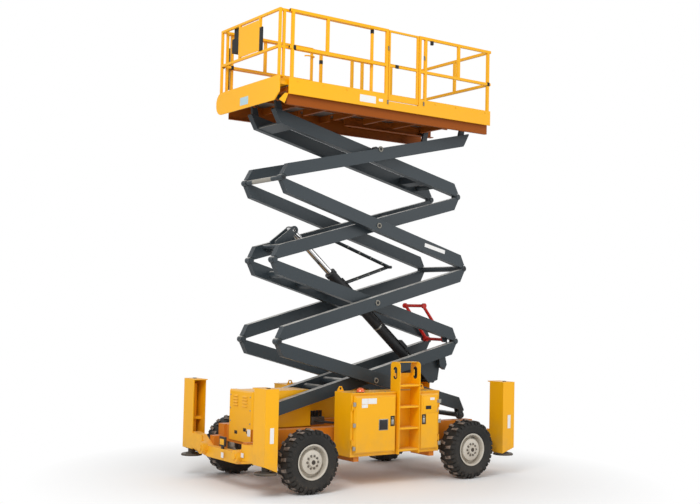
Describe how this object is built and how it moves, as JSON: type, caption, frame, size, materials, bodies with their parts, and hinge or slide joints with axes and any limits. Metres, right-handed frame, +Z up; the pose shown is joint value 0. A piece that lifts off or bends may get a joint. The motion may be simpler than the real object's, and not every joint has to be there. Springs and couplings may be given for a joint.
{
  "type": "rough-terrain scissor lift",
  "caption": "Four-wheel scissor lift with a stack of crossed arms raised by one cylinder, outrigger jacks at its ends and a railed platform with a sliding deck.",
  "frame": {"origin": "on the ground, midway between the axles, on the centre line", "axes": "+Z up, +X to the rear (fixed end of the platform), -X to the front (sliding deck and steered wheels), -Y to the ladder side"},
  "size_m": [4.542, 2.3598, 6.4816],
  "materials": {
    "yellow_paint": "gloss enamel",
    "arm_grey": "satin enamel",
    "rim_paint": "satin enamel",
    "tyre_rubber": "matt rubber",
    "rod_steel": "polished",
    "red_paint": "gloss enamel",
    "underframe_paint": "satin enamel",
    "frame_paint": "satin enamel",
    "black_metal": "satin black",
    "black_plastic": "matt",
    "floor_metal": "worn chequer plate",
    "battery_case": "matt"
  },
  "bodies": {
    "chassis": {"chassis_frame": "frame_paint", "front_axle": "black_metal", "rear_axle": "black_metal", "steering_cylinder": "black_metal", "front_outrigger_beam": "yellow_paint", "rear_outrigger_beam": "yellow_paint", "outrigger_towers": "yellow_paint", "front_cover": "yellow_paint", "cabinet_near": "yellow_paint", "cabinet_far": "yellow_paint", "battery_pack": "battery_case", "ladder": "yellow_paint"},
    "inner_arms_1": {"inner_arms_1": "arm_grey"},
    "outer_arms_1": {"outer_arms_1": "arm_grey"},
    "inner_arms_2": {"inner_arms_2": "arm_grey", "safety_prop": "red_paint"},
    "outer_arms_2": {"outer_arms_2": "arm_grey"},
    "inner_arms_3": {"inner_arms_3": "arm_grey"},
    "outer_arms_3": {"outer_arms_3": "arm_grey"},
    "inner_arms_4": {"inner_arms_4": "arm_grey"},
    "outer_arms_4": {"outer_arms_4": "arm_grey"},
    "lift_cylinder_barrel": {"lift_cylinder_barrel": "black_metal"},
    "lift_cylinder_rod": {"lift_cylinder_rod": "rod_steel"},
    "hose_link_lower": {"hose_link_lower": "arm_grey"},
    "hose_link_upper": {"hose_link_upper": "arm_grey"},
    "steering_rod": {"steering_rod": "black_metal"},
    "platform": {"platform_frame": "underframe_paint", "platform_floor": "floor_metal", "platform_rails_near": "yellow_paint", "platform_rails_far": "yellow_paint", "platform_rails_rear": "yellow_paint"},
    "gate": {"platform_gate": "yellow_paint"},
    "extension": {"extension_deck": "yellow_paint", "extension_rails": "yellow_paint", "control_cover": "yellow_paint", "control_box": "black_plastic"},
    "knuckle_left": {"steering_knuckle_left": "black_metal"},
    "wheel_front_left": {"tyre_front_left": "tyre_rubber", "rim_front_left": "rim_paint"},
    "jack_front_left": {"jack_front_left": "black_metal"},
    "wheel_rear_left": {"tyre_rear_left": "tyre_rubber", "rim_rear_left": "rim_paint"},
    "jack_rear_left": {"jack_rear_left": "black_metal"},
    "knuckle_right": {"steering_knuckle_right": "black_metal"},
    "wheel_front_right": {"tyre_front_right": "tyre_rubber", "rim_front_right": "rim_paint"},
    "jack_front_right": {"jack_front_right": "black_metal"},
    "wheel_rear_right": {"tyre_rear_right": "tyre_rubber", "rim_rear_right": "rim_paint"},
    "jack_rear_right": {"jack_rear_right": "black_metal"},
    "cabinet_door_near_front": {"cabinet_door_near_front": "yellow_paint"},
    "cabinet_door_near_rear": {"cabinet_door_near_rear": "yellow_paint"},
    "cabinet_door_far_front": {"cabinet_door_far_front": "yellow_paint"},
    "cabinet_door_far_rear": {"cabinet_door_far_rear": "yellow_paint"}
  },
  "joints": [
    {"name": "scissor", "type": "hinge", "parent": "chassis", "child": "inner_arms_1", "pos_m": [-1.61, 0, 0.863], "axis": [0, -1, 0], "range_deg": [-13.7, 39.3]},
    {"name": "inner_joint_2", "type": "hinge", "parent": "inner_arms_1", "child": "inner_arms_2", "pos_m": [1.70524, 0, 1.98514], "axis": [0, -1, 0], "range_deg": [-78.7, 27.5]},
    {"name": "inner_joint_3", "type": "hinge", "parent": "inner_arms_2", "child": "inner_arms_3", "pos_m": [-1.61, 0, 3.10729], "axis": [0, -1, 0], "range_deg": [-27.5, 78.7]},
    {"name": "inner_joint_4", "type": "hinge", "parent": "inner_arms_3", "child": "inner_arms_4", "pos_m": [1.70524, 0, 4.22944], "axis": [0, -1, 0], "range_deg": [-78.7, 27.5]},
    {"name": "centre_pin_1", "type": "hinge", "parent": "inner_arms_1", "child": "outer_arms_1", "pos_m": [0.04762, 0, 1.42407], "axis": [0, -1, 0], "range_deg": [-78.7, 27.5]},
    {"name": "centre_pin_2", "type": "hinge", "parent": "inner_arms_2", "child": "outer_arms_2", "pos_m": [0.04762, 0, 2.54622], "axis": [0, -1, 0], "range_deg": [-27.5, 78.7]},
    {"name": "centre_pin_3", "type": "hinge", "parent": "inner_arms_3", "child": "outer_arms_3", "pos_m": [0.04762, 0, 3.66836], "axis": [0, -1, 0], "range_deg": [-78.7, 27.5]},
    {"name": "centre_pin_4", "type": "hinge", "parent": "inner_arms_4", "child": "outer_arms_4", "pos_m": [0.04762, 0, 4.79051], "axis": [0, -1, 0], "range_deg": [-27.5, 78.7]},
    {"name": "platform_pivot", "type": "hinge", "parent": "inner_arms_4", "child": "platform", "pos_m": [-1.61, 0, 5.35158], "axis": [0, -1, 0], "range_deg": [-13.8, 39.4]},
    {"name": "lift_cylinder_pivot", "type": "hinge", "parent": "inner_arms_1", "child": "lift_cylinder_barrel", "pos_m": [1.30052, 0, 1.47978], "axis": [0, -1, 0], "range_deg": [-72.81, 25.45]},
    {"name": "lift_cylinder_stroke", "type": "slide", "parent": "lift_cylinder_barrel", "child": "lift_cylinder_rod", "axis": [-0.7581, 0, 0.6521], "range_m": [-0.552, 1.576]},
    {"name": "hose_link_lower_pivot", "type": "hinge", "parent": "inner_arms_2", "child": "hose_link_lower", "pos_m": [-0.40515, 0, 2.69947], "axis": [0, -1, 0], "range_deg": [-27.5, 78.7]},
    {"name": "hose_link_upper_pivot", "type": "hinge", "parent": "inner_arms_3", "child": "hose_link_upper", "pos_m": [-0.40515, 0, 3.51511], "axis": [0, -1, 0], "range_deg": [-78.7, 27.5]},
    {"name": "platform_extension", "type": "slide", "parent": "platform", "child": "extension", "axis": [-1, 0, 0], "range_m": [0, 1.2]},
    {"name": "gate_hinge", "type": "hinge", "parent": "platform", "child": "gate", "pos_m": [-0.072, -0.814, 5.9], "axis": [0, 0, 1], "range_deg": [0, 90]},
    {"name": "steering_left", "type": "hinge", "parent": "chassis", "child": "knuckle_left", "pos_m": [-1.4, -0.79, 0.425], "axis": [0, 0, 1], "range_deg": [-30, 30]},
    {"name": "steering_right", "type": "hinge", "parent": "chassis", "child": "knuckle_right", "pos_m": [-1.4, 0.79, 0.425], "axis": [0, 0, 1], "range_deg": [-30.1, 30.1]},
    {"name": "steering_rod_slide", "type": "slide", "parent": "chassis", "child": "steering_rod", "axis": [0, 1, 0], "range_m": [-0.0945, 0.0945]},
    {"name": "wheel_front_left_spin", "type": "hinge", "parent": "knuckle_left", "child": "wheel_front_left", "pos_m": [-1.4, -0.9925, 0.425], "axis": [0, 1, 0], "continuous": true},
    {"name": "wheel_rear_left_spin", "type": "hinge", "parent": "chassis", "child": "wheel_rear_left", "pos_m": [1.4, -0.9925, 0.425], "axis": [0, 1, 0], "continuous": true},
    {"name": "wheel_front_right_spin", "type": "hinge", "parent": "knuckle_right", "child": "wheel_front_right", "pos_m": [-1.4, 0.9925, 0.425], "axis": [0, 1, 0], "continuous": true},
    {"name": "wheel_rear_right_spin", "type": "hinge", "parent": "chassis", "child": "wheel_rear_right", "pos_m": [1.4, 0.9925, 0.425], "axis": [0, 1, 0], "continuous": true},
    {"name": "jack_front_left_stroke", "type": "slide", "parent": "chassis", "child": "jack_front_left", "axis": [0, 0, -1], "range_m": [0, 0.45]},
    {"name": "jack_front_right_stroke", "type": "slide", "parent": "chassis", "child": "jack_front_right", "axis": [0, 0, -1], "range_m": [0, 0.45]},
    {"name": "jack_rear_left_stroke", "type": "slide", "parent": "chassis", "child": "jack_rear_left", "axis": [0, 0, -1], "range_m": [0, 0.45]},
    {"name": "jack_rear_right_stroke", "type": "slide", "parent": "chassis", "child": "jack_rear_right", "axis": [0, 0, -1], "range_m": [0, 0.45]},
    {"name": "cabinet_door_near_front_hinge", "type": "hinge", "parent": "chassis", "child": "cabinet_door_near_front", "pos_m": [-0.704, -1.018, 0.865], "axis": [0, 0, -1], "range_deg": [0, 110]},
    {"name": "cabinet_door_near_rear_hinge", "type": "hinge", "parent": "chassis", "child": "cabinet_door_near_rear", "pos_m": [0.834, -1.018, 0.865], "axis": [0, 0, 1], "range_deg": [0, 110]},
    {"name": "cabinet_door_far_front_hinge", "type": "hinge", "parent": "chassis", "child": "cabinet_door_far_front", "pos_m": [-0.704, 1.018, 0.865], "axis": [0, 0, 1], "range_deg": [0, 110]},
    {"name": "cabinet_door_far_rear_hinge", "type": "hinge", "parent": "chassis", "child": "cabinet_door_far_rear", "pos_m": [0.834, 1.018, 0.865], "axis": [0, 0, -1], "range_deg": [0, 110]}
  ],
  "couplings": [
    {"joint": "inner_joint_2", "follows": "scissor", "ratio": -2},
    {"joint": "inner_joint_3", "follows": "scissor", "ratio": 2},
    {"joint": "inner_joint_4", "follows": "scissor", "ratio": -2},
    {"joint": "centre_pin_1", "follows": "scissor", "ratio": -2},
    {"joint": "centre_pin_2", "follows": "scissor", "ratio": 2},
    {"joint": "centre_pin_3", "follows": "scissor", "ratio": -2},
    {"joint": "centre_pin_4", "follows": "scissor", "ratio": 2},
    {"joint": "platform_pivot", "follows": "scissor", "ratio": 1},
    {"joint": "lift_cylinder_pivot", "follows": "scissor", "ratio": -1.85},
    {"joint": "lift_cylinder_stroke", "follows": "scissor", "m_per_rad": 2.2918},
    {"joint": "hose_link_lower_pivot", "follows": "scissor", "ratio": 2},
    {"joint": "hose_link_upper_pivot", "follows": "scissor", "ratio": -2},
    {"joint": "steering_right", "follows": "steering_left", "ratio": 1},
    {"joint": "steering_rod_slide", "follows": "steering_left", "m_per_rad": 0.18}
  ]
}
